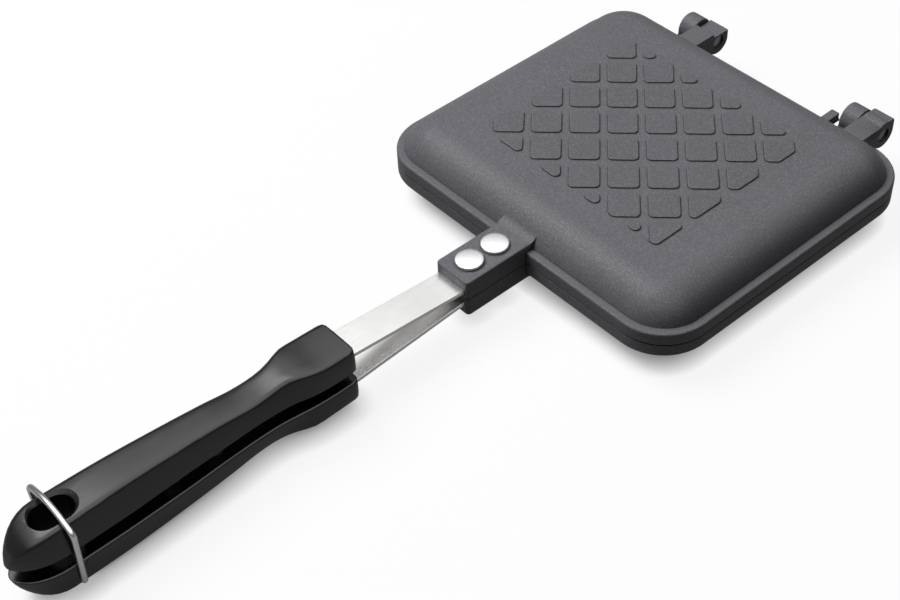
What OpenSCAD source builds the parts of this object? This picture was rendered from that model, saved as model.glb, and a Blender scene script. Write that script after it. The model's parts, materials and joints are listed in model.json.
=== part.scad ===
// Stove-top pie iron: two cast pans hinged along one edge, flat arms riveted to their lugs,
// a two-part moulded handle, and a wire bail that holds the two grips together.
//
// X runs along the hinge line, +Y from the handle towards the hinges, +Z up.
// The origin is under the middle of the lower pan, on the surface that the iron stands on.
// Each half is drawn above the parting plane, with that plane at z = 0;
// seat_upper() lifts it to its height and seat_lower() mirrors it below the plane.

/* [Pans] */
// Width of a pan along the hinge line
pan_w = 145; // [120:1:175]
// Depth of a pan, from the handle side to the hinge side
pan_d = 129; // [115:1:160]
// Radius of a pan's corners in plan
corner_r = 19; // [15:0.5:25]
// Height of a rim above the parting plane
rim_h = 5; // [4:0.1:7]
// Width of the flat ledge between a rim's edge and the foot of the dome
ledge_w = 3; // [2:0.1:5]
// Rise of the dome above the rim
dome_h = 9.65; // [7:0.05:13]
// Radius of the dome's shoulder, level where it leaves the flat top
dome_round = 14; // [12:0.5:15]
// Thickness of the cast walls
wall_t = 3; // [2:0.1:4]
// Radius along the rim's outer edge
rim_edge_r = 0.8; // [0.3:0.1:1.5]
// Gap between the two closed rims
rim_gap = 0.3; // [0.2:0.05:0.6]

/* [Raised pads] */
// Height of the pads above the dome's flat top
pad_h = 0.65; // [0.4:0.05:1.2]
// Spacing of the pads across their columns
pad_pitch_u = 13.63; // [12:0.01:17]
// Spacing of the pads along their columns
pad_pitch_v = 14.9; // [13:0.1:18]
// Width of the groove between two columns
groove_u = 2.81; // [1.5:0.01:4]
// Width of the groove between two rows
groove_v = 2.8; // [1.5:0.1:4]
// Radius of the pads' corners
pad_corner_r = 1.7; // [0.5:0.1:2.5]
// Width of the area that the pads fill
field_w = 86; // [60:1:96]
// Depth of the area that the pads fill
field_d = 76.6; // [55:0.1:84]
// Sideways step of the upper pan's pads from the middle
pad_shift_u = -6.96; // [-8.5:0.01:8.5]
// Lengthwise step of the upper pan's pads from the middle
pad_shift_v = 7.28; // [-9:0.01:9]

/* [Lugs and arms] */
// Width of the lug that carries an arm
lug_w = 16; // [15:0.5:22]
// Length of a lug beyond the pan's side
lug_l = 26.6; // [24:0.1:34]
// Height of a lug above the parting plane
lug_h = 7.5; // [6.8:0.1:9]
// Radius of a lug's front corners in plan
lug_corner_r = 1.5; // [0.5:0.1:3]
// Radius of the sweep from a lug's top up to the dome
lug_sweep_r = 6; // [3:0.5:8]
// Width of an arm's flat strip
arm_w = 12.5; // [10:0.1:13]
// Thickness of an arm's strip
arm_t = 1.6; // [1.2:0.1:2]
// Height of the strip's outer face above the parting plane, inside its lug
arm_seat_h = 3.6; // [3.4:0.1:4.2]
// Angle at which an arm leaves its lug
arm_rise = 4.2; // [3:0.1:5]
// Free length of an arm between its lug and its grip
arm_free_l = 47.5; // [40:0.5:70]
// Length of the narrow tang inside a grip
tang_l = 68; // [60:1:72]
// Width of the tang
tang_w = 8; // [7:0.1:8.4]
// Distance between the two rivets of a lug
rivet_pitch = 11.6; // [11.2:0.1:13]
// Distance from a lug's front end to its front rivet
rivet_end = 8.1; // [6.5:0.1:9]
// Diameter of a rivet's head
rivet_head_d = 10; // [7:0.1:10.5]
// Height of a rivet's head
rivet_head_h = 1.6; // [1.2:0.1:2]
// Height of the low crown on top of that head
rivet_crown_h = 0.4; // [0.2:0.1:0.8]
// Diameter of a rivet's shank
rivet_shank_d = 4.5; // [3.5:0.1:5]
// Diameter of a rivet's closed end
rivet_tail_d = 7; // [6:0.1:8]

/* [Hinges] */
// Distance of the hinge axis behind the pans
axis_back = 8; // [7.8:0.1:9.5]
// Height of the hinge axis above the parting plane
axis_h = 4.4; // [4.2:0.1:5]
// Radius of the lower pan's barrels
barrel_r = 5.6; // [5.3:0.1:6]
// Radius of the upper pan's tongues round the pin
tongue_r = 5.5; // [5.2:0.1:5.8]
// Diameter of the hinge pins
pin_d = 5.6; // [4:0.1:6]
// Length of each barrel along the axis
barrel_l = 7; // [5:0.1:9]
// Length of each tongue along the axis
tongue_l = 9; // [7:0.1:12]
// Side play between a barrel and its tongue
side_play = 0.3; // [0.2:0.05:0.6]
// Distance from the pans' left side to the joint face of the left hinge
left_hinge_in = 35.2; // [28:0.1:40]
// Distance from the pans' right side to the joint face of the right hinge
right_hinge_in = 29.9; // [27:0.1:34]
// Depth of a pin's end below the face of its tongue
pin_recess = 0.8; // [0.4:0.1:1.5]
// Radial play of a pin in a tongue
pin_play = 0.05; // [0.02:0.01:0.1]
// Radial play of a pin in a barrel
pin_press = 0.02; // [0.01:0.01:0.05]

/* [Grips] */
// Length of a grip
grip_l = 124; // [115:0.5:140]
// Length of the rounded rear end
grip_end_l = 15; // [13:0.5:17]
// Length of the hanging eye
eye_l = 14.6; // [12:0.1:16]
// Width of the hanging eye
eye_w = 10; // [8:0.1:10.4]
// Distance of the eye's middle from the grip's rear end
eye_end = 17.8; // [17:0.1:20]
// Width of the bevel round the eye
eye_bevel = 1.3; // [0.8:0.1:2]
// Distance from the front of a grip to its first screw
screw_front = 51.5; // [47:0.5:56]
// Distance between a grip's two screws
screw_pitch = 16; // [10:0.5:18]
// Diameter of the grip screws
screw_d = 2.9; // [2.5:0.1:3.5]
// Diameter of a screw's head
screw_head_d = 5.6; // [5:0.1:6.5]

/* [Bail] */
// Diameter of the bail's wire
wire_d = 1.9; // [1.6:0.1:2.1]
// Height of the bail's pivot inside the lower grip's outer face
pivot_in = 3.4; // [2.8:0.1:3.8]
// Half the distance between the bail's feet
foot_x = 9.7; // [9.7:0.1:10.6]
// Half the width of the bail at its shoulders
shoulder_x = 12.3; // [11.8:0.1:14]
// Height of the bail's shoulders above the parting plane
shoulder_h = 14; // [13.8:0.1:16]
// Rise of the bail's arch above its shoulders
arch_rise = 4.2; // [3.6:0.1:5]
// Radius of the bail's shoulder bends
shoulder_bend_r = 2.5; // [2:0.1:3.4]
// Radius of the bail's arch
arch_bend_r = 22; // [16:1:24]
// Radius of the bail's foot bends
foot_bend_r = 1.6; // [1.2:0.1:1.8]
// Radial play of the bail's ends in the grip
bail_play = 0.06; // [0.03:0.01:0.1]

/* [Hidden] */
$fn = 64;
EPS = 0.01;

// Heights above the parting plane.
flat_h = rim_h + dome_h;
pad_top_h = flat_h + pad_h;
mate_h = rim_gap / 2;

// The dome follows the rim at a fixed distance. Its shoulder is an arc that begins
// shoulder_in inside the foot and meets the ledge at a steep angle.
dome_w = pan_w - 2 * ledge_w;
dome_d = pan_d - 2 * ledge_w;
dome_corner_r = corner_r - ledge_w;
shoulder_in = min(sqrt(2 * dome_round * dome_h - dome_h * dome_h), dome_corner_r - 1);
shoulder_r = (shoulder_in * shoulder_in + dome_h * dome_h) / (2 * dome_h);

// The cooking cavity runs parallel to the dome, one wall inside it.
cavity_edge_r = shoulder_r - wall_t;
cavity_inset = shoulder_in - cavity_edge_r;
cavity_w = dome_w - 2 * cavity_inset;
cavity_d = dome_d - 2 * cavity_inset;
cavity_h = flat_h - wall_t;
cavity_corner_r = dome_corner_r - cavity_inset;

// Stations along the handle, all from the pan's handle side.
lug_front_y = -pan_d / 2 - lug_l;
rivet_y = [lug_front_y + rivet_end, lug_front_y + rivet_end + rivet_pitch];
arm_root_y = -pan_d / 2 - 2;
bend_gap = 1.5;
rise_y = lug_front_y - bend_gap;
grip_front_y = lug_front_y - arm_free_l;
level_y = grip_front_y + bend_gap;
tang_h = arm_seat_h + (rise_y - level_y) * tan(arm_rise);
tang_start_y = grip_front_y - 7;
tang_end_y = tang_start_y - tang_l;
slot_play = 0.15;

// Rivets and screws.
tail_h = 1.1;
shank_play = 0.1;
rivet_crown_r = (pow(rivet_head_d / 2, 2) + pow(rivet_crown_h, 2)) / (2 * rivet_crown_h);
screw_head_h = 1.6;
screw_depth = 3;
thread_play = 0.03;
screw_y = [grip_front_y - screw_front, grip_front_y - screw_front - screw_pitch];

// Hinge line and the side faces of its parts.
axis_y = pan_d / 2 + axis_back;
left_face_x = left_hinge_in - pan_w / 2;
right_face_x = pan_w / 2 - right_hinge_in;
tongue_top_h = axis_h + tongue_r - 0.5;
tongue_root_y = pan_d / 2 - 7;
notch_h = axis_h + pin_d / 2 + 0.6;
notch_y = axis_y - 2.8;
tab_w = 3.7;
tab_x = right_face_x - side_play - barrel_l - tab_w - 2;
tab_reach = 7.8;
tab_t = 3.8;
tab_rise = 0.6;

// Cross-sections of a grip: fraction of the straight length, height of the top,
// half width at the top, height of the open edge, half width at the open edge.
GRIP_ROWS = [
    [0.00, 11.5, 9.0, 2.2, 9.4],
    [0.11, 11.8, 9.1, 2.2, 9.4],
    [0.17, 12.7, 8.3, 2.4, 8.8],
    [0.22, 12.7, 6.2, 2.8, 7.8],
    [0.27, 11.8, 5.5, 2.8, 7.2],
    [0.35, 11.2, 5.8, 2.9, 7.0],
    [0.46, 12.5, 6.1, 2.9, 7.4],
    [0.62, 13.7, 6.6, 3.1, 8.2],
    [0.80, 14.5, 7.2, 2.9, 9.0],
    [1.00, 14.3, 7.9, 2.8, 9.2]
];
grip_straight_l = grip_l - grip_end_l;
grip_rear_y = grip_front_y - grip_l;
grip_steps = 36;
end_steps = 9;
end_turn = 84;
end_taper_x = 1.2;
end_taper_z = 1.3;
front_bevel = 0.7;
front_taper = 0.94;
edge_bevel = 0.6;
top_round = 2.2;
top_crown = 0.25;
side_bulge = 0.3;
eye_y = grip_rear_y + eye_end;

// The bail stands over the middle of the eye.
pivot_h = GRIP_ROWS[len(GRIP_ROWS) - 1][1] - pivot_in;
bail_end_x = eye_w / 2 + 0.3;
end_relief = 0.06;

// Height of the parting plane above the surface that the iron stands on.
part_z = pad_top_h;

module seat_upper() {
    translate([0, 0, part_z]) children();
}

module seat_lower() {
    translate([0, 0, part_z]) mirror([0, 0, 1]) children();
}

// ---- Pans ----

// Half of a plate's edge: reach r from the turning axis, height h, and an upper edge
// rounded by an arc of radius e that begins at the distance reach_in inside the edge.
module edge_profile(r, h, e, reach_in) {
    difference() {
        square([r, h]);
        translate([r - reach_in, h - e]) difference() {
            square(e + 1);
            circle(r = e);
        }
    }
}

// A plate with rounded corners in plan and a rounded upper edge.
module pillow(w, d, h, r, e, reach_in) {
    straight_w = w - 2 * r;
    straight_d = d - 2 * r;
    for (sx = [0, 1], sy = [0, 1])
        mirror([sx, 0, 0]) mirror([0, sy, 0])
            translate([straight_w / 2, straight_d / 2, 0])
                rotate_extrude(angle = 90) edge_profile(r, h, e, reach_in);
    for (s = [0, 1])
        mirror([s, 0, 0]) translate([straight_w / 2, straight_d / 2, 0])
            rotate([90, 0, 0]) linear_extrude(straight_d) edge_profile(r, h, e, reach_in);
    for (s = [0, 1])
        mirror([0, s, 0]) translate([-straight_w / 2, straight_d / 2, 0])
            rotate([90, 0, 90]) linear_extrude(straight_w) edge_profile(r, h, e, reach_in);
    translate([-straight_w / 2, -straight_d / 2, 0]) cube([straight_w, straight_d, h]);
}

// The pads' outline: a slanting lattice of rounded squares, cut off by a rectangle.
module pad_field(shift_u, shift_v) {
    reach = ceil(norm([field_w, field_d]) / 2 / min(pad_pitch_u, pad_pitch_v)) + 1;
    offset(r = pad_corner_r, $fn = 16) offset(delta = -pad_corner_r) intersection() {
        square([field_w, field_d], center = true);
        rotate(45)
            for (i = [-reach:reach], j = [-reach:reach])
                translate([i * pad_pitch_u + shift_u, j * pad_pitch_v + shift_v])
                    square([pad_pitch_u - groove_u, pad_pitch_v - groove_v], center = true);
    }
}

// Side view of a lug: a block whose top sweeps up into the dome in a hollow curve.
// The curve's centre lies where a circle of its radius touches both the lug and the shoulder.
module lug_side() {
    shoulder_y = -dome_d / 2 + shoulder_in;
    shoulder_z = flat_h - shoulder_r;
    centre_z = lug_h + lug_sweep_r;
    centre_y = shoulder_y - sqrt(pow(shoulder_r + lug_sweep_r, 2) - pow(centre_z - shoulder_z, 2));
    turn = atan2(shoulder_y - centre_y, centre_z - shoulder_z);
    steps = 10;
    polygon(concat(
        [[lug_front_y, mate_h], [lug_front_y, lug_h]],
        [for (i = [0:steps])
            [centre_y + lug_sweep_r * sin(turn * i / steps), centre_z - lug_sweep_r * cos(turn * i / steps)]],
        [[shoulder_y, centre_z - lug_sweep_r * cos(turn)], [shoulder_y, mate_h]]
    ));
}

// Plan of a lug with round front corners; it runs on under the dome.
module lug_plan() {
    for (s = [-1, 1])
        translate([s * (lug_w / 2 - lug_corner_r), lug_front_y + lug_corner_r]) circle(r = lug_corner_r);
    translate([lug_corner_r - lug_w / 2, lug_front_y]) square([lug_w - 2 * lug_corner_r, lug_l]);
    translate([-lug_w / 2, lug_front_y + lug_corner_r]) square([lug_w, -lug_front_y]);
}

module lug() {
    intersection() {
        translate([-lug_w / 2, 0, 0]) rotate([90, 0, 90]) linear_extrude(lug_w) lug_side();
        linear_extrude(flat_h) lug_plan();
    }
}

// The channel under a lug that the arm lies in, and the rivets' holes.
module lug_cuts() {
    channel_w = arm_w + 2 * slot_play;
    translate([-channel_w / 2, lug_front_y - 1, -1])
        cube([channel_w, arm_root_y + slot_play - lug_front_y + 1, arm_seat_h + 1]);
    for (y = rivet_y)
        translate([0, y, 0]) cylinder(h = lug_h + 1, d = rivet_shank_d + 2 * shank_play);
}

module cavity() {
    translate([0, 0, -1])
        pillow(cavity_w, cavity_d, cavity_h + 1, cavity_corner_r, cavity_edge_r, cavity_edge_r);
}

// One half's casting without its hinge parts.
module casting(shift_u, shift_v) {
    difference() {
        union() {
            translate([0, 0, mate_h])
                pillow(pan_w, pan_d, rim_h - mate_h, corner_r, rim_edge_r, rim_edge_r);
            translate([0, 0, mate_h])
                pillow(dome_w, dome_d, flat_h - mate_h, dome_corner_r, shoulder_r, shoulder_in);
            translate([0, 0, flat_h - EPS])
                linear_extrude(pad_h + EPS) pad_field(shift_u, shift_v);
            lug();
        }
        cavity();
        lug_cuts();
    }
}

// Side view of a tongue: flat on top, round under the pin, square at its upper rear corner.
module tongue_side(notched) {
    difference() {
        union() {
            translate([axis_y, axis_h]) circle(r = tongue_r);
            polygon([
                [tongue_root_y, rim_h - 1], [tongue_root_y, tongue_top_h],
                [axis_y + tongue_r - 0.6, tongue_top_h], [axis_y + tongue_r, tongue_top_h - 0.6],
                [axis_y + tongue_r, axis_h], [axis_y, axis_h],
                [axis_y - 1, mate_h], [pan_d / 2 - 1, mate_h], [pan_d / 2 - 1, rim_h - 1]
            ]);
        }
        if (notched)
            translate([notch_y, notch_h]) square([2 * tongue_r + 4, tongue_r]);
    }
}

module tongue(face_x, notched) {
    translate([face_x, 0, 0])
        rotate([90, 0, 90]) linear_extrude(tongue_l) tongue_side(notched);
}

// Side view of a barrel with the bracket that carries it behind the lower rim.
// It is drawn above the plane as the rest of its half is, so the axis is at -axis_h.
module barrel_side() {
    translate([axis_y, -axis_h]) circle(r = barrel_r);
    polygon([
        [pan_d / 2 - 1, mate_h], [pan_d / 2 + 1, mate_h],
        [axis_y - barrel_r * cos(15), -axis_h + barrel_r * sin(15)], [axis_y, -axis_h],
        [axis_y + barrel_r * cos(25), -axis_h + barrel_r * sin(25)],
        [axis_y - 1, rim_h - rim_edge_r], [pan_d / 2 - 1, rim_h - rim_edge_r]
    ]);
}

module barrel(face_x) {
    translate([face_x - side_play - barrel_l, 0, 0])
        rotate([90, 0, 90]) linear_extrude(barrel_l) barrel_side();
}

// A bore for both pins; height is that of the axis as the half is drawn.
module pin_bores(height, play) {
    translate([-pan_w / 2, axis_y, height])
        rotate([0, 90, 0]) cylinder(h = pan_w, d = pin_d + 2 * play);
}

module upper_pan() {
    color("dimgray") seat_upper() difference() {
        union() {
            casting(pad_shift_u, pad_shift_v);
            difference() {
                union() {
                    tongue(left_face_x, true);
                    tongue(right_face_x, false);
                }
                cavity();
            }
            translate([tab_x, pan_d / 2 - 1, rim_h + tab_rise - tab_t])
                cube([tab_w, tab_reach + 1, tab_t]);
        }
        pin_bores(axis_h, pin_play);
    }
}

module lower_pan() {
    color("dimgray") seat_lower() difference() {
        union() {
            casting(0, 0);
            barrel(left_face_x);
            barrel(right_face_x);
        }
        pin_bores(-axis_h, pin_press);
    }
}

// A pin runs through its barrel and tongue and stays a little inside both end faces.
module hinge_pin(face_x) {
    pin_l = barrel_l + side_play + tongue_l - 2 * pin_recess;
    color("silver") seat_upper()
        translate([face_x - side_play - barrel_l + pin_recess, axis_y, axis_h])
            rotate([0, 90, 0]) cylinder(h = pin_l, d = pin_d);
}

// ---- Arms and rivets ----

// Side view of the strip: level in its lug, rising towards the grip, level again inside it.
module arm_side() {
    polygon([
        [arm_root_y, arm_seat_h], [rise_y, arm_seat_h], [level_y, tang_h], [tang_end_y, tang_h],
        [tang_end_y, tang_h - arm_t], [level_y, tang_h - arm_t],
        [rise_y, arm_seat_h - arm_t], [arm_root_y, arm_seat_h - arm_t]
    ]);
}

// Plan of the strip, with its shoulders where the tang begins.
module arm_plan() {
    translate([-arm_w / 2, tang_start_y]) square([arm_w, arm_root_y - tang_start_y]);
    translate([-tang_w / 2, tang_end_y + tang_w / 2])
        square([tang_w, tang_start_y - tang_end_y - tang_w / 2 + 1]);
    translate([0, tang_end_y + tang_w / 2]) circle(d = tang_w);
}

module arm() {
    difference() {
        intersection() {
            translate([-arm_w, 0, 0]) rotate([90, 0, 90]) linear_extrude(2 * arm_w) arm_side();
            linear_extrude(tang_h + 1) arm_plan();
        }
        for (y = rivet_y)
            translate([0, y, 0]) cylinder(h = lug_h, d = rivet_shank_d + 2 * shank_play);
        for (y = screw_y)
            translate([0, y, 0]) cylinder(h = tang_h + 1, d = screw_d + 2 * shank_play);
    }
}

module upper_arm() {
    color("gainsboro") seat_upper() arm();
}

module lower_arm() {
    color("gainsboro") seat_lower() arm();
}

// A flat head with a low crown on the lug, a shank through lug and strip, and a closed end.
module rivet(y) {
    under_h = arm_seat_h - arm_t;
    translate([0, y, 0]) {
        intersection() {
            translate([0, 0, lug_h + rivet_head_h - rivet_crown_r]) sphere(r = rivet_crown_r);
            translate([0, 0, lug_h]) cylinder(h = rivet_head_h, d = rivet_head_d);
        }
        translate([0, 0, under_h - tail_h]) cylinder(h = lug_h - under_h + tail_h + 0.2, d = rivet_shank_d);
        translate([0, 0, under_h - tail_h]) cylinder(h = tail_h, d = rivet_tail_d);
    }
}

module upper_front_rivet() {
    color("silver") seat_upper() rivet(rivet_y[0]);
}

module upper_rear_rivet() {
    color("silver") seat_upper() rivet(rivet_y[1]);
}

module lower_front_rivet() {
    color("silver") seat_lower() rivet(rivet_y[0]);
}

module lower_rear_rivet() {
    color("silver") seat_lower() rivet(rivet_y[1]);
}

// ---- Grips ----

// Slope of a column of the rows at row i, from its neighbours.
function slope_at(i, c) =
    let (a = GRIP_ROWS[max(i - 1, 0)], b = GRIP_ROWS[min(i + 1, len(GRIP_ROWS) - 1)])
    (b[c] - a[c]) / (b[0] - a[0]);

// A column's value at fraction f, on a smooth curve through the rows.
function row_value(f, c) =
    let (
        i = min(len(GRIP_ROWS) - 2, len([for (r = GRIP_ROWS) if (r[0] <= f) 1]) - 1),
        a = GRIP_ROWS[i],
        b = GRIP_ROWS[i + 1],
        step = b[0] - a[0],
        t = (f - a[0]) / step
    )
    (2 * pow(t, 3) - 3 * pow(t, 2) + 1) * a[c] + (pow(t, 3) - 2 * pow(t, 2) + t) * step * slope_at(i, c)
    + (3 * pow(t, 2) - 2 * pow(t, 3)) * b[c] + (pow(t, 3) - pow(t, 2)) * step * slope_at(i + 1, c);

// Right half of the section at fraction f, from the open edge up the side and round to the
// top's middle. kx and kz shrink its width and height towards an end.
function half_section(f, kx, kz) =
    let (
        top_x = row_value(f, 2) * kx,
        edge_z = row_value(f, 3),
        edge_x = row_value(f, 4) * kx,
        top_z = edge_z + (row_value(f, 1) - edge_z) * kz,
        r = min(top_round, (top_z - edge_z) / 2, top_x / 2),
        lean = (edge_x - top_x) / (top_z - edge_z)
    )
    [
        [edge_x - edge_bevel * kx, edge_z],
        [edge_x, edge_z + edge_bevel * kz],
        [(edge_x + top_x) / 2 + side_bulge * kx, (edge_z + top_z) / 2],
        for (t = [0:0.2:1])
            [top_x + lean * r * pow(1 - t, 2) - r * pow(t, 2), top_z - top_crown * kz - r * pow(1 - t, 2)],
        [top_x * 0.35, top_z - top_crown * kz * 0.3]
    ];

function section(y, half) = concat(
    [for (p = half) [p[0], y, p[1]]],
    [for (i = [len(half) - 1:-1:0]) [-half[i][0], y, half[i][1]]]
);

// A grip's sections: a bevelled front edge, the straight length and the domed rear end.
function grip_sections() = concat(
    [section(grip_front_y, half_section(0, front_taper, front_taper))],
    [for (i = [0:grip_steps])
        let (f = i / grip_steps)
        section(grip_front_y - max(f * grip_straight_l, front_bevel), half_section(f, 1, 1))],
    [for (i = [1:end_steps])
        let (a = end_turn * i / end_steps)
        section(grip_front_y - grip_straight_l - grip_end_l * sin(a) / sin(end_turn),
            half_section(1, pow(cos(a), end_taper_x), pow(cos(a), end_taper_z)))]
);

// A closed skin through rings of points.
module loft(rings) {
    n = len(rings[0]);
    last = len(rings) - 1;
    points = [for (ring = rings) each ring];
    walls = [for (i = [0:last - 1], j = [0:n - 1])
        let (a = i * n + j, b = i * n + (j + 1) % n, c = a + n, d = b + n)
        each [[a, d, b], [a, c, d]]];
    caps = [[for (j = [0:n - 1]) j], [for (j = [n - 1:-1:0]) last * n + j]];
    polyhedron(points, concat(walls, caps));
}

// The eye: a slot with round ends and a bevelled mouth.
module eye() {
    r = eye_w / 2;
    travel = (eye_l - eye_w) / 2;
    top_z = row_value(1, 1);
    translate([0, eye_y, 0]) {
        for (s = [-1, 1])
            translate([0, s * travel, 0]) {
                cylinder(h = top_z + 1, r = r);
                translate([0, 0, top_z - eye_bevel])
                    cylinder(h = eye_bevel + 1, r1 = r - EPS, r2 = r + eye_bevel + 1);
            }
        translate([-r, -travel, 0]) cube([2 * r, 2 * travel, top_z + 1]);
        translate([0, travel, top_z - eye_bevel]) rotate([90, 0, 0]) linear_extrude(2 * travel)
            polygon([[-r, 0], [r, 0], [r + eye_bevel + 1, eye_bevel + 1], [-r - eye_bevel - 1, eye_bevel + 1]]);
    }
}

// A grip has a flat slot from its front face, where the arm and its tang are pushed in,
// and two wells in its inner face, where the screws' heads bear on the tang.
module grip() {
    wide = arm_w + 2 * slot_play;
    narrow = tang_w + 2 * slot_play;
    slot_t = arm_t + slot_play;
    difference() {
        loft(grip_sections());
        translate([-wide / 2, tang_start_y - slot_play, tang_h - slot_t])
            cube([wide, grip_front_y - tang_start_y + slot_play + 1, slot_t]);
        translate([-narrow / 2, tang_end_y - slot_play, tang_h - slot_t])
            cube([narrow, tang_start_y - tang_end_y + slot_play, slot_t]);
        for (y = screw_y)
            translate([0, y, 0]) {
                cylinder(h = tang_h + screw_depth + slot_play, d = screw_d + 2 * thread_play);
                cylinder(h = tang_h - arm_t, d = screw_head_d + 2 * slot_play);
            }
        eye();
    }
}

module upper_grip() {
    color("#1c1c1e") seat_upper() grip();
}

module lower_grip() {
    color("#1c1c1e") seat_lower() difference() {
        grip();
        translate([-shoulder_x - 2, eye_y, pivot_h])
            rotate([0, 90, 0]) cylinder(h = 2 * shoulder_x + 4, d = wire_d + 2 * bail_play);
    }
}

// A pan-head screw up through the tang into the grip.
module grip_screw(y) {
    translate([0, y, 0]) {
        translate([0, 0, tang_h - arm_t]) cylinder(h = arm_t + screw_depth, d = screw_d);
        translate([0, 0, tang_h - arm_t - screw_head_h]) cylinder(h = screw_head_h, d = screw_head_d);
    }
}

module upper_front_screw() {
    color("silver") seat_upper() grip_screw(screw_y[0]);
}

module upper_rear_screw() {
    color("silver") seat_upper() grip_screw(screw_y[1]);
}

module lower_front_screw() {
    color("silver") seat_lower() grip_screw(screw_y[0]);
}

module lower_rear_screw() {
    color("silver") seat_lower() grip_screw(screw_y[1]);
}

// ---- Bail ----

// Angle of the direction from a to b, and the turn from a-b to b-c.
function heading(a, b) = atan2(b[1] - a[1], b[0] - a[0]);
function turn_at(a, b, c) =
    let (t = heading(b, c) - heading(a, b))
    t > 180 ? t - 360 : (t < -180 ? t + 360 : t);

// Stations [x, y, heading] round the bend of radius r at corner b.
function bend(a, b, c, r, steps) =
    let (
        start = heading(a, b),
        turn = turn_at(a, b, c),
        side = sign(turn),
        reach = r * tan(abs(turn) / 2),
        centre = [b[0] - reach * cos(start) - side * r * sin(start),
                  b[1] - reach * sin(start) + side * r * cos(start)]
    )
    [for (i = [0:steps])
        let (h = start + turn * i / steps)
        [centre[0] + side * r * sin(h), centre[1] - side * r * cos(h), h]];

// Rings of round wire along a flat path with a bend at each inner corner.
function wire_rings(path, radii, steps, d, sides) =
    let (
        last = len(path) - 1,
        stations = concat(
            [[path[0][0], path[0][1], heading(path[0], path[1])]],
            [for (i = [1:last - 1]) each bend(path[i - 1], path[i], path[i + 1], radii[i - 1], steps[i - 1])],
            [[path[last][0], path[last][1], heading(path[last - 1], path[last])]]
        )
    )
    [for (s = stations) [for (j = [0:sides - 1])
        let (a = 360 * j / sides, r = d / 2 / cos(180 / sides))
        [s[0] - r * cos(a) * sin(s[2]), s[1] + r * cos(a) * cos(s[2]), r * sin(a)]]];

// The wire's bent part, drawn flat and stood up across the handle, and its two straight ends.
module bail() {
    end_l = foot_x - foot_bend_r * 1.2 - bail_end_x;
    neck_x = bail_end_x + end_l;
    color("gainsboro") translate([0, eye_y, part_z]) {
        rotate([90, 0, 0]) loft(wire_rings(
            [[-neck_x, -pivot_h], [-foot_x, -pivot_h], [-shoulder_x, shoulder_h],
             [0, shoulder_h + arch_rise],
             [shoulder_x, shoulder_h], [foot_x, -pivot_h], [neck_x, -pivot_h]],
            [foot_bend_r, shoulder_bend_r, arch_bend_r, shoulder_bend_r, foot_bend_r],
            [6, 6, 8, 6, 6], wire_d + end_relief, 12
        ));
        for (s = [0, 1])
            mirror([s, 0, 0]) translate([bail_end_x, 0, -pivot_h])
                rotate([0, 90, 0]) cylinder(h = end_l, d = wire_d);
    }
}

lower_pan();
upper_pan();
hinge_pin(left_face_x);  // left_hinge_pin
hinge_pin(right_face_x);  // right_hinge_pin
lower_arm();
upper_arm();
lower_front_rivet();
lower_rear_rivet();
upper_front_rivet();
upper_rear_rivet();
lower_grip();
upper_grip();
lower_front_screw();
lower_rear_screw();
upper_front_screw();
upper_rear_screw();
bail();
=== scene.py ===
# %% [markdown]
# # A stove-top pie iron, dressed for its photograph
#
# The iron is two cast pans on a hinge, with flat arms, a black moulded handle and a wire bail.
# The solid model already holds every piece in its real size, so it is loaded as a fixed frame.
# This lesson adds what a solid model can't say: the finish of each surface and soft edges.

# %% Load the frame
import json
import math
import bmesh
import bpy
import numpy as np
from mathutils import Matrix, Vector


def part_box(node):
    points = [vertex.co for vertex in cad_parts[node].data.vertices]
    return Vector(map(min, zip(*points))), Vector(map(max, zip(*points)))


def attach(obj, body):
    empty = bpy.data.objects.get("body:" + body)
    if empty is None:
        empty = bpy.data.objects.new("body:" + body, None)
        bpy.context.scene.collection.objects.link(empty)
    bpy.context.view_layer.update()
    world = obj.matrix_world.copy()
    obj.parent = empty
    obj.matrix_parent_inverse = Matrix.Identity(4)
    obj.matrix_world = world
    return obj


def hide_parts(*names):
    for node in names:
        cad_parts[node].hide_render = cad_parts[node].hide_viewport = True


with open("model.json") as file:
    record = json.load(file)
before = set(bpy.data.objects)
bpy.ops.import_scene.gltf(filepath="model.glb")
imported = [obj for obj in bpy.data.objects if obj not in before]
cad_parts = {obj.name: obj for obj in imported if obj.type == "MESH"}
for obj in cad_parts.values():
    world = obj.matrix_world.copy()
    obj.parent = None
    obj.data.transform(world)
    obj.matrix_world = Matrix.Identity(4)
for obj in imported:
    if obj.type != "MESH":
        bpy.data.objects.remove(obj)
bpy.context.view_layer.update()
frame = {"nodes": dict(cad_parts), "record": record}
nodes, record = frame["nodes"], frame["record"]
MM_PER_M = 1000
PARTING_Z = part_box("upper_pan")[1][2] / 2


# %% [markdown]
# ## The camera
#
# A photograph of a flat-topped thing tells where it was taken: straight edges, corners and the
# slanting pads only line up from one place. Those lines were matched one by one, which gave a
# bearing, a tilt, a small roll and a distance. A long lens keeps the far side almost as wide as
# the near side. Setting the camera by these few numbers is easier to read than a saved matrix.

# %% Set up the camera
CAMERA_PLACE = (0.3042, -0.3403, 0.3989)
BEARING, TILT, ROLL = np.radians([50.80, 44.68, -2.97])
LENS_MM, SENSOR_MM = 65.2, 36.0
NEAREST_M, FARTHEST_M = 0.01, 20


def add_object(name, data):
    """A new object of that name for its data, linked to the scene."""
    made = bpy.data.objects.new(name, data)
    bpy.context.scene.collection.objects.link(made)
    return made


def stand(thing, right, up, back, place):
    """Puts an object at place, with its own x, y and z axes along right, up and back."""
    turn = np.eye(4)
    turn[:3, 0], turn[:3, 1], turn[:3, 2], turn[:3, 3] = right, up, back, place
    thing.matrix_world = Matrix(turn.tolist())


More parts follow.
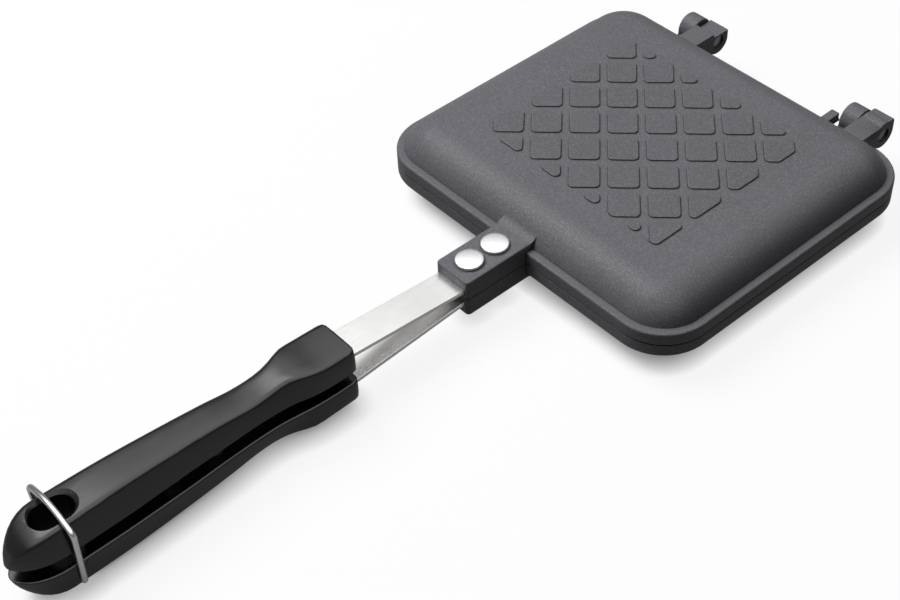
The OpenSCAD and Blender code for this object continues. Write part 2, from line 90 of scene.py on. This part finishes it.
def camera_axes(bearing, tilt, roll):
    """Right, up and forward of a camera: level axes at that bearing and tilt, then rolled."""
    flat = math.cos(tilt)
    forward = np.array([-math.sin(bearing) * flat, math.cos(bearing) * flat, -math.sin(tilt)])
    right = np.array([math.cos(bearing), math.sin(bearing), 0.0])
    up = np.cross(right, forward)
    rolled_right = math.cos(roll) * right + math.sin(roll) * up
    rolled_up = math.cos(roll) * up - math.sin(roll) * right
    return rolled_right, rolled_up, forward


def stand_camera(place):
    """A camera at that place, looking along the fitted axes."""
    data = bpy.data.cameras.new("photo_camera")
    data.lens, data.sensor_width, data.sensor_fit = LENS_MM, SENSOR_MM, "HORIZONTAL"
    data.clip_start, data.clip_end = NEAREST_M, FARTHEST_M
    camera = add_object("photo_camera", data)
    right, up, forward = camera_axes(BEARING, TILT, ROLL)
    stand(camera, right, up, -forward, place)
    return camera


bpy.context.scene.camera = stand_camera(CAMERA_PLACE)
bpy.context.scene.view_settings.view_transform = "Standard"
print("camera distance:", round(float(np.linalg.norm(CAMERA_PLACE)), 3), "m")

# %% [markdown]
# ## Small tools for materials
#
# Every finish below is built the same way: a Principled shader, a few noise patterns read in
# object space so that they keep their real size in metres, and curves that turn a pattern into
# colour, roughness or bump. Wrapping those steps in short functions keeps each recipe readable.

# %% Make helpers for materials
MIX_FIRST, MIX_SECOND, MIX_COLOUR = 6, 7, 2  # the Mix node's sockets for colours, by place


class Finish:
    """A material with a Principled shader, and short words for wiring patterns into it."""

    def __init__(self, name, **sockets):
        self.material = bpy.data.materials.new(name)
        self.material.use_nodes = True
        self.tree = self.material.node_tree
        self.shader = self.tree.nodes["Principled BSDF"]
        self.place = self.tree.nodes.new("ShaderNodeTexCoord").outputs["Object"]
        for socket, value in sockets.items():
            self.shader.inputs[socket.replace("_", " ")].default_value = value

    def node(self, kind, inputs=(), **settings):
        """A node of that kind with its settings, and its inputs wired or filled by name."""
        made = self.tree.nodes.new(kind)
        for key, value in settings.items():
            setattr(made, key, value)
        for key, value in dict(inputs).items():
            if isinstance(value, bpy.types.NodeSocket):
                self.tree.links.new(value, made.inputs[key])
            else:
                made.inputs[key].default_value = value
        return made

    def calculated(self, operation, *inputs):
        """The result of a Math node on one or two numbers or outputs."""
        made = self.node("ShaderNodeMath", enumerate(inputs), operation=operation)
        return made.outputs["Value"]

    def noise(self, size, detail=2.0, rough=0.5):
        """Noise from 0 to 1 whose lumps are about that size in metres, one size or one per axis."""
        scale = tuple(1 / length for length in np.broadcast_to(size, 3).tolist())
        mapping = self.node("ShaderNodeMapping", {"Vector": self.place, "Scale": scale})
        inputs = {"Scale": 1.0, "Detail": detail, "Roughness": rough}
        inputs["Vector"] = mapping.outputs["Vector"]
        return self.node("ShaderNodeTexNoise", inputs).outputs["Fac"]

    def spread(self, pattern, low, high, start=0.3, end=0.7):
        """A pattern's range start..end stretched to low..high, and held at the ends."""
        inputs = {"Value": pattern, "From Min": start, "From Max": end}
        inputs.update({"To Min": low, "To Max": high})
        return self.node("ShaderNodeMapRange", inputs).outputs["Result"]

    def mixed(self, amount, first, second, kind="MIX"):
        """Two colours mixed by amount from first to second, each a colour or an output."""
        mix = self.node("ShaderNodeMix", {"Factor": amount}, data_type="RGBA", blend_type=kind)
        for place, colour in ((MIX_FIRST, first), (MIX_SECOND, second)):
            if isinstance(colour, bpy.types.NodeSocket):
                self.tree.links.new(colour, mix.inputs[place])
            else:
                mix.inputs[place].default_value = (*colour, 1)
        return mix.outputs[MIX_COLOUR]

    def multiplied(self, first, second):
        """The product of two colours or greys."""
        return self.mixed(1.0, first, second, "MULTIPLY")

    def painted_crevice_shade(self, reach, dark):
        """Painted shade: 1 on an open surface, falling to dark in a corner, by how much of the view
        within that reach in metres is closed off."""
        view = self.node("ShaderNodeAmbientOcclusion", {"Distance": reach}, samples=8)
        return self.spread(view.outputs["AO"], dark, 1, start=0.45, end=0.95)

    def bump(self, height, depth, below=None):
        """A bump of that depth in metres, on top of another bump if one is given."""
        inputs = {"Height": height, "Distance": depth, "Strength": 1.0}
        if below is not None:
            inputs["Normal"] = below
        return self.node("ShaderNodeBump", inputs).outputs["Normal"]

    def wire(self, output, socket):
        """Wires an output into one of the shader's inputs."""
        self.tree.links.new(output, self.shader.inputs[socket])


print("helpers ready")

# %% [markdown]
# ## The dark coating of the castings
#
# The pans are die-cast aluminium under a matt, dark grey non-stick coat. Close to, the coat is
# full of tiny pale flakes on a soft orange-peel skin. One noise makes the flakes, a second of
# some millimetres makes the peel, and a third of some centimetres keeps large faces from being
# even. A colour ramp on the height above the joint paints shade on the walls of the pads' steps
# and a highlight on their rounded top edges. Less light gets into narrow corners, such as the
# joint and the rings round the rivets, so painted shade darkens the coat there by how much of its
# near surroundings is closed off.

# %% Coat the castings
# Heights up the pads' steps and their tones: painted shade on the walls, a painted highlight on the
# rounded top edges.
PAD_SHADE_AND_HIGHLIGHT = [
    (0.0, 1.0), (0.09, 1.0), (0.16, 0.26), (0.52, 0.34),
    (0.70, 1.25), (0.86, 1.25), (0.925, 0.93), (1.0, 0.93),
]
BRIGHTEST = max(tone for _, tone in PAD_SHADE_AND_HIGHLIGHT)
STEP_FOOT, STEP_TOP = 0.01460, 0.01535
COAT_DARK, COAT_PALE, FLAKE = (0.136, 0.136, 0.148), (0.152, 0.152, 0.166), (0.238, 0.238, 0.258)
FLAKE_M, CLOUD_M, PEEL_M, GRAIN_M = 0.00055, 0.03, 0.0022, 0.0006


def pad_shade_and_highlight(coat, low, high):
    """A grey that follows the distance from the parting plane through the pads' steps: painted
    shade on the wall, a painted highlight on the rounded top edge, and a touch darker on the
    flat top."""
    z = coat.node("ShaderNodeSeparateXYZ", {"Vector": coat.place}).outputs["Z"]
    away = coat.calculated("ABSOLUTE", coat.calculated("SUBTRACT", z, PARTING_Z))
    ramp = coat.node("ShaderNodeValToRGB", {"Fac": coat.spread(away, 0, 1, low, high)})
    stops = ramp.color_ramp.elements
    for position, _ in PAD_SHADE_AND_HIGHLIGHT[1:-1]:
        stops.new(position)
    for stop, (position, tone) in zip(stops, PAD_SHADE_AND_HIGHLIGHT):
        stop.position, stop.color = position, (*[tone / BRIGHTEST] * 3, 1)
    return ramp.outputs["Color"]


def coating():
    """Dark grey coat with fine flakes, faint clouds and an orange-peel skin."""
    coat = Finish("coat", Roughness=0.45, Metallic=0.0, Specular_IOR_Level=0.45)
    flakes = coat.spread(coat.noise(FLAKE_M, detail=1.5, rough=0.6), 0, 1, start=0.46, end=0.74)
    clouds = coat.spread(coat.noise(CLOUD_M, detail=3.0), 0, 1)
    flaked = coat.mixed(flakes, coat.mixed(clouds, COAT_DARK, COAT_PALE), FLAKE)
    # Painted shade on the pads' walls and a painted highlight on their rounded edges.
    with_painted_pads = coat.multiplied(flaked, pad_shade_and_highlight(coat, STEP_FOOT, STEP_TOP))
    # Painted shade in narrow corners, by how closed in each point is.
    coat.wire(coat.multiplied(with_painted_pads, coat.painted_crevice_shade(reach=0.0012, dark=0.32)), "Base Color")
    coat.wire(coat.spread(flakes, 0.52, 0.40, start=0, end=1), "Roughness")
    peel = coat.bump(coat.noise(PEEL_M, detail=2.0), depth=0.00004)
    coat.wire(coat.bump(coat.noise(GRAIN_M, detail=1.0), depth=0.00003, below=peel), "Normal")
    return coat.material


coat = coating()
print("coat:", len(coat.node_tree.nodes), "nodes")

# %% [markdown]
# ## The black handle
#
# The grips are pressed from a black thermosetting plastic. It is glossy but never quite flat:
# the mould leaves a slow ripple, and handling leaves faint dull patches. So the colour barely
# changes, and almost all of the work is done by roughness and a very shallow bump.

# %% Finish the grips
PATCH_M, RIPPLE_M, PORE_M = (0.012, 0.025, 0.012), (0.006, 0.02, 0.006), 0.0007


def moulding():
    """Black semi-gloss plastic with dull patches and a slow ripple."""
    black = Finish("black_moulding", Roughness=0.22, Specular_IOR_Level=0.7)
    patches = black.noise(PATCH_M, detail=4.0)
    colour = black.mixed(patches, (0.008, 0.008, 0.009), (0.013, 0.013, 0.0145))
    black.wire(colour, "Base Color")
    black.wire(black.spread(patches, 0.18, 0.25), "Roughness")
    ripple = black.bump(black.noise(RIPPLE_M, detail=1.0), depth=0.00008)
    black.wire(black.bump(black.noise(PORE_M, detail=2.0), depth=0.000012, below=ripple), "Normal")
    return black.material


black = moulding()
print("black moulding:", len(black.node_tree.nodes), "nodes")

# %% [markdown]
# ## The metals
#
# Four bare metals show: satin steel strip, bright aluminium rivets, plain steel pins and
# screws, and plated wire. Rolled strip has its grain along its length, which a noise stretched
# along Y gives. The others differ mainly in roughness, so one function makes them all.

# %% Finish the metals
STAIN_M = 0.02


def metal(name, dark, light, grain, roughness, depth):
    """Bare metal: colour dark..light and roughness follow a grain of that size in metres."""
    bare = Finish(name, Metallic=1.0)
    lines = bare.noise(grain, detail=3.0)
    both = bare.calculated("MULTIPLY", lines, bare.noise(STAIN_M, detail=3.0))
    bare.wire(bare.mixed(bare.spread(both, 0, 1, start=0.12, end=0.4), dark, light), "Base Color")
    bare.wire(bare.spread(lines, *roughness), "Roughness")
    bare.wire(bare.bump(lines, depth), "Normal")
    return bare.material


strip = metal(
    "satin_strip", dark=(0.77, 0.765, 0.755), light=(0.87, 0.865, 0.855),
    grain=(0.0004, 0.03, 0.0004), roughness=(0.30, 0.38), depth=0.000002,
)
rivet = metal(
    "bright_rivet", dark=(0.85, 0.85, 0.86), light=(0.91, 0.91, 0.92),
    grain=0.0012, roughness=(0.36, 0.44), depth=0.000003,
)
steel = metal(
    "plain_steel", dark=(0.18, 0.18, 0.18), light=(0.32, 0.316, 0.31),
    grain=0.0006, roughness=(0.28, 0.42), depth=0.00001,
)
wire = metal(
    "plated_wire", dark=(0.80, 0.80, 0.79), light=(0.94, 0.94, 0.93),
    grain=0.0008, roughness=(0.20, 0.30), depth=0.000004,
)
print("metals:", [bare.name for bare in (strip, rivet, steel, wire)])

# %% [markdown]
# ## Dress the solid pieces
#
# A solid piece keeps its mesh, so it is only given a material. The record names a slot for each
# piece; a table from slot to finish is shorter and safer than seventeen lines of pieces.

# %% Dress the solid pieces
FINISH_OF_SLOT = {
    "cast_coating": coat,
    "moulded_grip": black,
    "strip_steel": strip,
    "rivet_aluminium": rivet,
    "pin_steel": steel,
    "bail_wire": wire,
}
slot_of = {part["node"]: part["material_slot"] for part in record["subparts"]}


def dress(piece, finish):
    """Puts one finish into every material slot of a piece."""
    if not piece.material_slots:
        piece.data.materials.append(finish)
    for slot in piece.material_slots:
        slot.material = finish


for name, piece in nodes.items():
    dress(piece, FINISH_OF_SLOT[slot_of[name]])
print("dressed:", len(nodes))

# %% [markdown]
# ## Soft edges
#
# A solid model's edges are razor sharp, and its curved skins are made of small flat faces. A real
# casting or moulding has neither: every edge is rounded a little and catches a line of light. Each
# such piece is shown by a copy whose loose triangles share their points again and whose flat areas
# are one face. Its sharp edges are then rounded in groups, because a lug has a broad round where
# a pad has a narrow one. Face-weighted normals keep the flat areas flat beside the rounds.

# %% Make helpers for soft edges
WELD_M = 0.000002
FLAT_DEG, SHARP_DEG, FOLD_DEG = 0.4, 34, 14
body_of_node = {}
for body, members in record["behaviour"]["bodies"].items():
    body_of_node.update({member: body for member in members})


def merged_skin(name, weld=WELD_M):
    """The mesh of a solid piece with points within weld metres joined and flat areas one face."""
    skin = bmesh.new()
    skin.from_mesh(nodes[name].data)
    bmesh.ops.remove_doubles(skin, verts=skin.verts, dist=weld)
    flat = math.radians(FLAT_DEG)
    bmesh.ops.dissolve_limit(skin, angle_limit=flat, verts=skin.verts, edges=skin.edges)
    return skin


def round_edges(skin, width, chosen=lambda p: True, inner=False, segments=3):
    """Rounds the sharp outer (or inner) edges whose middle is chosen, by that width in metres."""
    sign, sharp = -1 if inner else 1, math.radians(SHARP_DEG)
    picked = []
    for edge in skin.edges:
        if edge.is_manifold and sign * edge.calc_face_angle_signed(0) > sharp:
            if chosen((edge.verts[0].co + edge.verts[1].co) / 2):
                picked.append(edge)
    bmesh.ops.bevel(
        skin, geom=picked, offset=width, offset_type="OFFSET", segments=segments, profile=0.5,
        affect="EDGES", clamp_overlap=False, loop_slide=True,
    )
    return len(picked)


def show_skin(name, skin):
    """Turns a finished skin into the piece that is shown in the place of its solid. An edge stays
    sharp where it turns out by SHARP_DEG or more, or in by FOLD_DEG or more."""
    for edge in skin.edges:
        turn = edge.calc_face_angle_signed(0) if edge.is_manifold else 0
        edge.smooth = -math.radians(FOLD_DEG) < turn < math.radians(SHARP_DEG)
    mesh = bpy.data.meshes.new(name + "_skin")
    skin.to_mesh(mesh)
    skin.free()
    mesh.shade_smooth()
    piece = add_object(name + "_skin", mesh)
    even = piece.modifiers.new("flat_areas", "WEIGHTED_NORMAL")
    even.keep_sharp = True
    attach(piece, body_of_node[name])
    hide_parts(name)
    dress(piece, FINISH_OF_SLOT[slot_of[name]])
    return piece


print("bodies:", sorted(set(body_of_node.values())))

# %% [markdown]
# ## The two castings
#
# The pads stand 0.65 mm proud with a draft and a round at top and foot; the rounds catch light, and
# with the shade and highlight that the coat paints on the steps, each pad is ringed by a dark line
# with a light line inside it. The rims have a small round beside the joint, which with the painted
# shade in corners makes the joint read as a dark groove. The lug is a thick lump of metal with a
# broad round, and the hinge's ears have a narrower one. Each group is found by where it lies: a
# height above or below the parting plane, and a place on the outline of the pan, of the lug or of
# the ears.

# %% Soften the castings
PAN_HALF_X, PAN_HALF_Y, PAN_CORNER = 0.0725, 0.0645, 0.019
LUG_HALF_X, LUG_FRONT_Y, LUG_RISE = 0.008, -0.0911, 0.0075
PAD_RISE, HALF_GAP = 0.00065, 0.00015
HINGE_Y, HINGE_Z = record["behaviour"]["joints"][0]["pos_m"][1:]
PAD_ROUND, FOOT_ROUND, RIM_ROUND, LUG_ROUND, EAR_ROUND = 0.00034, 0.00028, 0.0004, 0.0007, 0.0005
NEAR_Z, NEAR_LUG_Z, NEAR_RIM = 0.00005, 0.0001, 0.0004
LUG_SIDE, LUG_ROOT, LUG_END = 0.0016, 0.004, 0.0003
EAR_ROOT, BORE_CLEAR = 0.002, 0.0040


def on_rim(p):
    """True on the pan's outline: how far |x|, |y| pass the corner's middle makes one radius."""
    reach_x = max(abs(p.x) - (PAN_HALF_X - PAN_CORNER), 0)
    reach_y = max(abs(p.y) - (PAN_HALF_Y - PAN_CORNER), 0)
    return abs(math.hypot(reach_x, reach_y) - PAN_CORNER) < NEAR_RIM


def on_lug(p):
    """True on the lug's outline, clear of the rivet holes and of the slot for the strip."""
    beside = abs(p.x) > LUG_HALF_X - LUG_SIDE
    return p.y < -PAN_HALF_Y + LUG_ROOT and (beside or p.y < LUG_FRONT_Y + LUG_END)


def on_ears(p):
    """True on the hinge's barrels and tongues, clear of the bores for the pins."""
    from_axis = math.hypot(p.y - HINGE_Y, p.z - HINGE_Z)
    return p.y > PAN_HALF_Y + EAR_ROOT and from_axis > BORE_CLEAR


def soften_pan(name, pad_z, side):
    """One casting, with a round for each group of its edges: pads, feet of the pads, rim at the
    joint, lug and hinge ears. Side is 1 for the upper one, whose heights count upwards from the
    parting plane, and -1 for the lower one."""
    skin = merged_skin(name)
    flat_z = pad_z - side * PAD_RISE
    joint_z = PARTING_Z + side * HALF_GAP
    lug_z = PARTING_Z + side * LUG_RISE
    at_joint = lambda p: abs(p.z - joint_z) < NEAR_Z and on_rim(p)
    at_lug = lambda p: abs(p.z - lug_z) < NEAR_LUG_Z and on_lug(p)
    counts = [
        round_edges(skin, PAD_ROUND, lambda p: abs(p.z - pad_z) < NEAR_Z),
        round_edges(skin, FOOT_ROUND, lambda p: abs(p.z - flat_z) < NEAR_Z, inner=True, segments=2),
        round_edges(skin, RIM_ROUND, at_joint, segments=2),
        round_edges(skin, LUG_ROUND, at_lug),
        round_edges(skin, EAR_ROUND, on_ears),
    ]
    show_skin(name, skin)
    return counts


print("edges rounded on pads, feet of pads, rim, lug, ears:")
print("upper pan:", soften_pan("upper_pan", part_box("upper_pan")[1][2], 1))
print("lower pan:", soften_pan("lower_pan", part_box("lower_pan")[0][2], -1))

# %% [markdown]
# ## The handle
#
# The moulded grips get a fine round on their lips. Their two upright front corners have a broad
# one, which runs on over the top and narrows it: rows of points are cut in across the corner, and
# each row is squeezed towards the strip in the middle by as much as a round takes away. The edge
# of the hanging eye keeps the bevel that its solid has.

# %% Soften the grips
GRIP_WELD_M, GRIP_ROUND = 0.00002, 0.0003
EYE_Y, EYE_L, EYE_W = -0.2448, 0.0146, 0.0100
EYE_CLEAR, BORE_X, BORE_Y = 0.0095, 0.0066, 0.002
FRONT_ROUND, FRONT_ROW, FRONT_ZONE = 0.0026, 0.0030, 0.0060
FRONT_SHARES = (1.0, 0.74, 0.5, 0.29, 0.14, 0.05)
INNER_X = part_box("upper_arm")[1][0] + 0.0003


def cut_rows(skin, front_y, inner_x):
    """Cuts rows of points across a grip's front end: at shares of the round's depth behind the
    front, and along the two sides of the strip."""
    cuts = [((0, front_y - share * FRONT_ROUND, 0), (0, 1, 0)) for share in FRONT_SHARES]
    cuts += [((side * inner_x, 0, 0), (1, 0, 0)) for side in (-1, 1)]
    for place, normal in cuts:
        faces = [f for f in skin.faces if f.calc_center_median().y > front_y - FRONT_ZONE]
        edges = {edge for face in faces for edge in face.edges}
        verts = {vert for face in faces for vert in face.verts}
        zone = [*verts, *edges, *faces]
        bmesh.ops.bisect_plane(skin, geom=zone, dist=1e-6, plane_co=place, plane_no=normal)


def round_front(skin, front_y, inner_x):
    """Rounds a grip's two upright front corners. With v the distance past the start of the round,
    the half width there is h(v) = H - R + sqrt(R^2 - v^2), and the part of a section beyond
    inner_x is squeezed by (h(v) - inner_x) / (H - inner_x), so its top round narrows as well."""
    half_x = max(v.co.x for v in skin.verts if v.co.y > front_y - FRONT_ROW)
    cut_rows(skin, front_y, inner_x)
    moved = 0
    for vert in skin.verts:
        past = min(vert.co.y - (front_y - FRONT_ROUND), FRONT_ROUND)
        if past > 0 and abs(vert.co.x) > inner_x:
            half = half_x - FRONT_ROUND + math.sqrt(FRONT_ROUND**2 - past**2)
            beyond = (abs(vert.co.x) - inner_x) * (half - inner_x) / (half_x - inner_x)
            vert.co.x = math.copysign(inner_x + beyond, vert.co.x)
            moved += 1
    return moved


def clear_of_eye(p):
    """True away from the hanging eye, whose edge has its own bevel, and from the bail's bores."""
    from_eye = abs(p.y - EYE_Y)
    return from_eye > EYE_CLEAR or (abs(p.x) > BORE_X and from_eye > BORE_Y)


for name in ("upper_grip", "lower_grip"):
    skin = merged_skin(name, GRIP_WELD_M)
    moved = round_front(skin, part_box(name)[1][1], INNER_X)
    rounded = round_edges(skin, GRIP_ROUND, clear_of_eye)
    show_skin(name, skin)
    print(name, "- points moved at the front corners:", moved, "- edges rounded:", rounded)

# %% [markdown]
# ## Strips, rivets and bail
#
# Rolled strip has a trace of a round on its edges, and a pressed rivet has a soft rim. The wire has
# no edge to round, so its copy is made only to be shaded smooth.

# %% Soften the small metal pieces
ROUND_OF_NODE = {
    "upper_arm": 0.0002,
    "lower_arm": 0.0002,
    "upper_front_rivet": 0.0003,
    "upper_rear_rivet": 0.0003,
    "lower_front_rivet": 0.0003,
    "lower_rear_rivet": 0.0003,
}
for name, width in ROUND_OF_NODE.items():
    skin = merged_skin(name)
    print(name, "- edges rounded:", round_edges(skin, width))
    show_skin(name, skin)
print("faces of the bail:", len(show_skin("bail", merged_skin("bail")).data.polygons))

# %% [markdown]
# ## Dark collars in the eye
#
# Inside the hanging eye, between the two grips, there is only shade, and no light shows through.
# So each moulding gets a low black collar round the eye on its inner side, a dark wall put there
# to stand for that shade, and the two collars meet. It is one flat wall carried round the eye's
# outline, which is two half circles joined by straight runs.

# %% Raise the collars
COLLAR_T, COLLAR_GAP, COLLAR_REACH, COLLAR_STEPS = 0.0011, 0.00015, 0.0040, 48


def eye_loop(grow):
    """The eye's outline in x and y, grown outwards: turning angle t gives the end circle's point
    r cos t, r sin t, moved along y by plus or minus half the straight run."""
    radius = EYE_W / 2
    run = EYE_L / 2 - radius
    t = (np.arange(COLLAR_STEPS) + 0.5) / COLLAR_STEPS * 2 * np.pi
    x = (radius + grow) * np.cos(t)
    y = EYE_Y + (radius + grow) * np.sin(t) + np.where(np.sin(t) > 0, run, -run)
    return x, y


def collar(name, side, body):
    """A closed wall: four rings, inner low, inner high, outer high, outer low, joined by quads."""
    low, high = PARTING_Z + side * COLLAR_GAP, PARTING_Z + side * COLLAR_REACH
    rings = [(0.0, low), (0.0, high), (COLLAR_T, high), (COLLAR_T, low)]
    points = [np.stack([*eye_loop(grow), np.full(COLLAR_STEPS, z)], axis=1) for grow, z in rings]
    ring, step = np.meshgrid(np.arange(len(rings)), np.arange(COLLAR_STEPS), indexing="ij")
    here, there = ring * COLLAR_STEPS, (ring + 1) % len(rings) * COLLAR_STEPS
    after = (step + 1) % COLLAR_STEPS
    quads = np.stack([here + step, here + after, there + after, there + step], axis=-1)
    order = [0, 1, 2, 3] if side < 0 else [3, 2, 1, 0]
    mesh = bpy.data.meshes.new(name)
    mesh.from_pydata(np.concatenate(points).tolist(), [], quads.reshape(-1, 4)[:, order].tolist())
    mesh.shade_smooth()
    mesh.set_sharp_from_angle(angle=math.radians(SHARP_DEG))
    piece = add_object(name, mesh)
    dress(piece, black)
    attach(piece, body)
    return piece


# Dark walls that stand for the shade inside the eye.
collars = [
    collar("upper_eye_shade_collar", 1, "upper_half"),
    collar("lower_eye_shade_collar", -1, "lower_half"),
]
for piece in collars:
    check = bmesh.new()
    check.from_mesh(piece.data)
    print(piece.name, "- volume in mm3:", round(check.calc_volume(signed=True) * MM_PER_M**3, 1))
    check.free()

# %% [markdown]
# ## The room
#
# The photograph is a plain pack shot: white all round, with tops bright, sides that fall off to
# near black and metal that shows white. So the room looks white to the camera, gives little light
# of its own, and shows mirrors dark walls under a bright ceiling. A Light Path node tells which
# kind of ray asks, and one helper turns it into a number for each kind.

# %% Build the room
def by_ray(tree, camera, mirror, other):
    """A number with one value for camera and clear rays, one for glossy rays and one for others."""
    path = tree.nodes.new("ShaderNodeLightPath")
    result = None
    for rays, value in (
        (("Is Camera Ray", "Is Transmission Ray"), camera),
        (("Is Glossy Ray",), mirror),
    ):
        for ray in rays:
            pick = tree.nodes.new("ShaderNodeMix")
            tree.links.new(path.outputs[ray], pick.inputs["Factor"])
            pick.inputs["A"].default_value = other
            if isinstance(value, bpy.types.NodeSocket):
                tree.links.new(value, pick.inputs["B"])
            else:
                pick.inputs["B"].default_value = value
            if result is not None:
                tree.links.new(result, pick.inputs["A"])
            result = pick.outputs["Result"]
    return result


def make_world(ambient, low, high, wall, ceiling):
    """A white room to look at. In mirrors its brightness goes from wall to ceiling as the sine of
    the height angle goes from low to high."""
    world = bpy.data.worlds.new("white_room")
    world.use_nodes = True
    tree = world.node_tree
    split = tree.nodes.new("ShaderNodeSeparateXYZ")
    tree.links.new(tree.nodes.new("ShaderNodeTexCoord").outputs["Generated"], split.inputs[0])
    ramp = tree.nodes.new("ShaderNodeMapRange")
    ramp.interpolation_type = "SMOOTHSTEP"
    tree.links.new(split.outputs["Z"], ramp.inputs["Value"])
    levels = {"From Min": low, "From Max": high, "To Min": wall, "To Max": ceiling}
    for socket, value in levels.items():
        ramp.inputs[socket].default_value = value
    background = tree.nodes["Background"]
    background.inputs["Color"].default_value = (1, 1, 1, 1)
    level = by_ray(tree, 1.0, ramp.outputs["Result"], ambient)
    tree.links.new(level, background.inputs["Strength"])
    bpy.context.scene.world = world


make_world(ambient=0.035, low=0.42, high=0.84, wall=0.16, ceiling=1.6)
print("room ready")

# %% [markdown]
# ## The floor
#
# The floor has to look as white as the room and still hold the iron's shadow. It mixes a glow that
# only the camera and mirrors see with a matt surface that takes the shadow. The glow fades close
# to the iron, a painted shadow that keeps the narrow dark line where a heavy thing stands on a
# table.

# %% Lay the floor
def make_floor(size, glow, mirror_glow, pale, grey, reach):
    """A flat square floor: glow and mirror_glow are its own light to the camera and in mirrors,
    pale and grey the lit surface's colour to the camera and to all other rays. The glow fades
    where something within reach hangs over the floor, which paints a shadow there."""
    half = size / 2
    corners = [(-half, -half, 0), (half, -half, 0), (half, half, 0), (-half, half, 0)]
    mesh = bpy.data.meshes.new("floor")
    mesh.from_pydata(corners, [], [(0, 1, 2, 3)])
    floor = add_object("floor", mesh)
    material = bpy.data.materials.new("white_floor")
    material.use_nodes = True
    tree = material.node_tree
    surface = tree.nodes["Principled BSDF"]
    surface.inputs["Roughness"].default_value = 0.9
    surface.inputs["Specular IOR Level"].default_value = 0.0
    tree.links.new(by_ray(tree, pale, grey, grey), surface.inputs["Base Color"])
    # Painted shadow: the glow fades where the iron closes off the floor's view of the room.
    painted_contact_shadow = tree.nodes.new("ShaderNodeAmbientOcclusion")
    painted_contact_shadow.inputs["Distance"].default_value = reach
    share = tree.nodes.new("ShaderNodeMath")
    share.operation = "MULTIPLY"
    tree.links.new(painted_contact_shadow.outputs["AO"], share.inputs[0])
    tree.links.new(by_ray(tree, glow, mirror_glow, 0.0), share.inputs[1])
    light = tree.nodes.new("ShaderNodeEmission")
    mix = tree.nodes.new("ShaderNodeMixShader")
    tree.links.new(share.outputs[0], mix.inputs["Fac"])
    tree.links.new(surface.outputs[0], mix.inputs[1])
    tree.links.new(light.outputs[0], mix.inputs[2])
    tree.links.new(mix.outputs[0], tree.nodes["Material Output"].inputs["Surface"])
    mesh.materials.append(material)


make_floor(size=8.0, glow=0.90, mirror_glow=0.22, pale=1.0, grey=0.12, reach=0.008)
print("floor ready")

# %% [markdown]
# ## The lights
#
# One broad soft lamp hangs high, to the left of the iron and behind it as the camera sees it. Its
# full reflection would burn out the satin strip, so mirrors don't see it. A second, much weaker
# lamp beside it is there for the reflections: it gives the coat and the grips a soft sheen.

# %% Hang the lights
AIM = (0, -0.06, 0)


def hang_light(name, place, size, level, in_mirrors):
    """A square soft light of that size at place, turned to AIM; level is its brightness seen.
    Mirrors see it only where in_mirrors says so."""
    data = bpy.data.lights.new(name, "AREA")
    data.shape, data.size = "SQUARE", size
    data.energy = level * math.pi * size * size
    light = add_object(name, data)
    light.visible_glossy = in_mirrors
    look = np.array(AIM, float) - np.array(place, float)
    look = look / np.linalg.norm(look)
    side = np.cross(look, (0.0, 1.0, 0.001))
    side = side / np.linalg.norm(side)
    stand(light, side, np.cross(side, look), -look, place)
    print(name, "- power in watts:", round(data.energy, 1))


hang_light("soft_top", (-0.90, -0.38, 1.45), size=1.10, level=6.8, in_mirrors=False)
hang_light("soft_sheen", (-0.62, -0.36, 1.30), size=0.90, level=2.2, in_mirrors=True)
